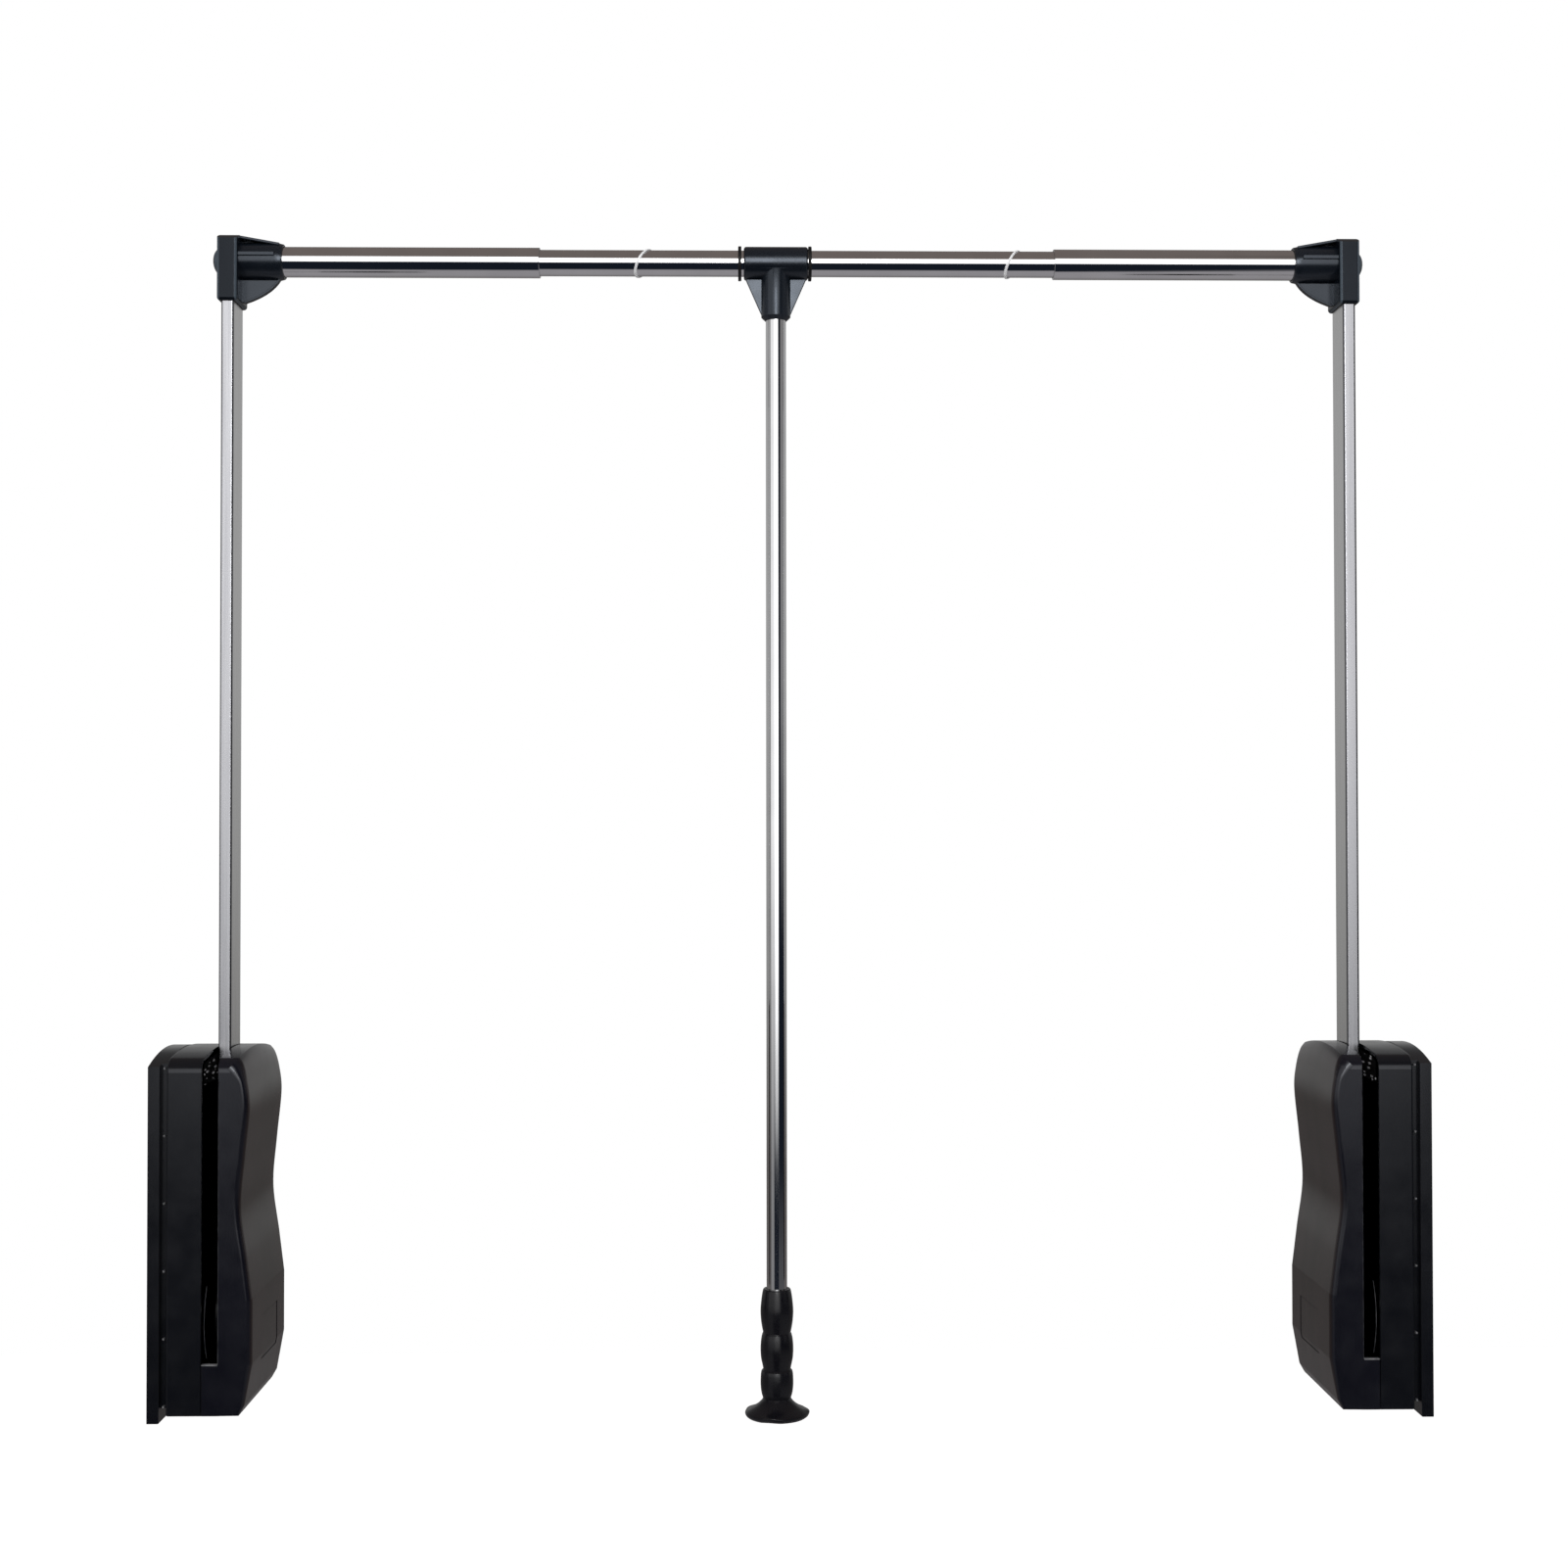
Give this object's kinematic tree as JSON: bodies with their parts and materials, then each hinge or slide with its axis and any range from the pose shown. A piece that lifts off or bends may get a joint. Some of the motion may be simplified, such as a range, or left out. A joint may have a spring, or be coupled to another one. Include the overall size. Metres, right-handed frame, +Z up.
{
  "type": "pull down closet rod",
  "caption": "Wardrobe lift: a telescopic hanging rail on two sprung swing arms in wall housings, drawn down by a hanging pull handle.",
  "frame": {"origin": "on the left wall plate's mounting face, on the axis that the arms swing about", "axes": "+X along the rail to the right, -Y to the front of the wardrobe, +Z up"},
  "size_m": [0.908, 0.11, 0.8655],
  "materials": {
    "housing_plastic": "black moulded plastic, fine satin grain",
    "shell_plastic": "black moulded plastic, satin",
    "slate_plastic": "slate-black moulded plastic, satin",
    "black_steel": "black painted steel",
    "chrome": "bright chrome plate",
    "aluminium": "satin aluminium extrusion",
    "zinc_steel": "zinc-plated steel",
    "nylon": "natural nylon",
    "gear_plastic": "glass-filled gear plastic",
    "rubber": "black rubber",
    "grip_rubber": "smooth black rubber, faint sheen",
    "foam": "open-cell foam strip"
  },
  "bodies": {
    "left_housing": {"left_wall_plate": "housing_plastic", "left_outer_shell": "housing_plastic", "left_inner_shell": "shell_plastic", "left_outer_cheek": "black_steel", "left_inner_cheek": "black_steel", "left_spine": "housing_plastic", "left_rest_bumper": "rubber", "left_channel_pad": "foam", "left_casing_screw_1": "zinc_steel", "left_casing_screw_2": "zinc_steel", "left_pivot_axle": "zinc_steel", "left_axle_circlip": "zinc_steel", "left_pivot_bush": "nylon", "left_rack_guide": "nylon", "left_gas_cylinder": "black_steel"},
    "left_frame": {"left_arm_foot": "black_steel", "left_drive_gear": "gear_plastic", "left_arm_tube": "aluminium", "left_arm_pin": "zinc_steel", "left_rail_bracket": "slate_plastic", "left_bracket_bolt": "slate_plastic", "left_outer_rail": "chrome"},
    "left_rack": {"left_rack": "gear_plastic", "left_gas_rod": "zinc_steel"},
    "inner_rail": {"inner_rail": "chrome", "left_stop_ring": "chrome", "right_stop_ring": "chrome", "left_tee_ring": "rubber", "right_tee_ring": "rubber"},
    "handle": {"tee_connector": "slate_plastic", "pull_rod": "chrome", "handle_grip": "grip_rubber"},
    "right_frame": {"right_arm_foot": "black_steel", "right_drive_gear": "gear_plastic", "right_arm_tube": "aluminium", "right_arm_pin": "zinc_steel", "right_rail_bracket": "slate_plastic", "right_bracket_bolt": "slate_plastic", "right_outer_rail": "chrome"},
    "right_housing": {"right_wall_plate": "housing_plastic", "right_outer_shell": "housing_plastic", "right_inner_shell": "shell_plastic", "right_outer_cheek": "black_steel", "right_inner_cheek": "black_steel", "right_spine": "housing_plastic", "right_rest_bumper": "rubber", "right_channel_pad": "foam", "right_casing_screw_1": "zinc_steel", "right_casing_screw_2": "zinc_steel", "right_pivot_axle": "zinc_steel", "right_axle_circlip": "zinc_steel", "right_pivot_bush": "nylon", "right_rack_guide": "nylon", "right_gas_cylinder": "black_steel"},
    "right_rack": {"right_rack": "gear_plastic", "right_gas_rod": "zinc_steel"}
  },
  "joints": [
    {"name": "arm_swing", "type": "hinge", "parent": "left_housing", "child": "left_frame", "pos_m": [0, 0, 0], "axis": [1, 0, 0], "range_deg": [0, 100], "stiffness_Nm_per_rad": 12, "springref_deg": -28.65},
    {"name": "left_rack_lift", "type": "slide", "parent": "left_housing", "child": "left_rack", "axis": [0, 0, 1], "range_m": [0, 0.0419]},
    {"name": "left_rail_slide", "type": "slide", "parent": "left_frame", "child": "inner_rail", "axis": [1, 0, 0], "range_m": [-0.065, 0.093]},
    {"name": "handle_swing", "type": "hinge", "parent": "inner_rail", "child": "handle", "pos_m": [0.44328, 0, 0.767], "axis": [1, 0, 0], "continuous": true},
    {"name": "right_rail_slide", "type": "slide", "parent": "inner_rail", "child": "right_frame", "axis": [1, 0, 0], "range_m": [-0.022, 0.149]},
    {"name": "right_housing_pivot", "type": "hinge", "parent": "right_frame", "child": "right_housing", "pos_m": [0.908, 0, 0], "axis": [1, 0, 0], "range_deg": [-100, 0]},
    {"name": "right_rack_lift", "type": "slide", "parent": "right_housing", "child": "right_rack", "axis": [0, 0, 1], "range_m": [0, 0.0419]}
  ],
  "couplings": [
    {"joint": "left_rack_lift", "follows": "arm_swing", "m_per_rad": 0.024},
    {"joint": "right_rack_lift", "follows": "arm_swing", "m_per_rad": 0.024},
    {"joint": "right_housing_pivot", "follows": "arm_swing", "ratio": -1}
  ]
}
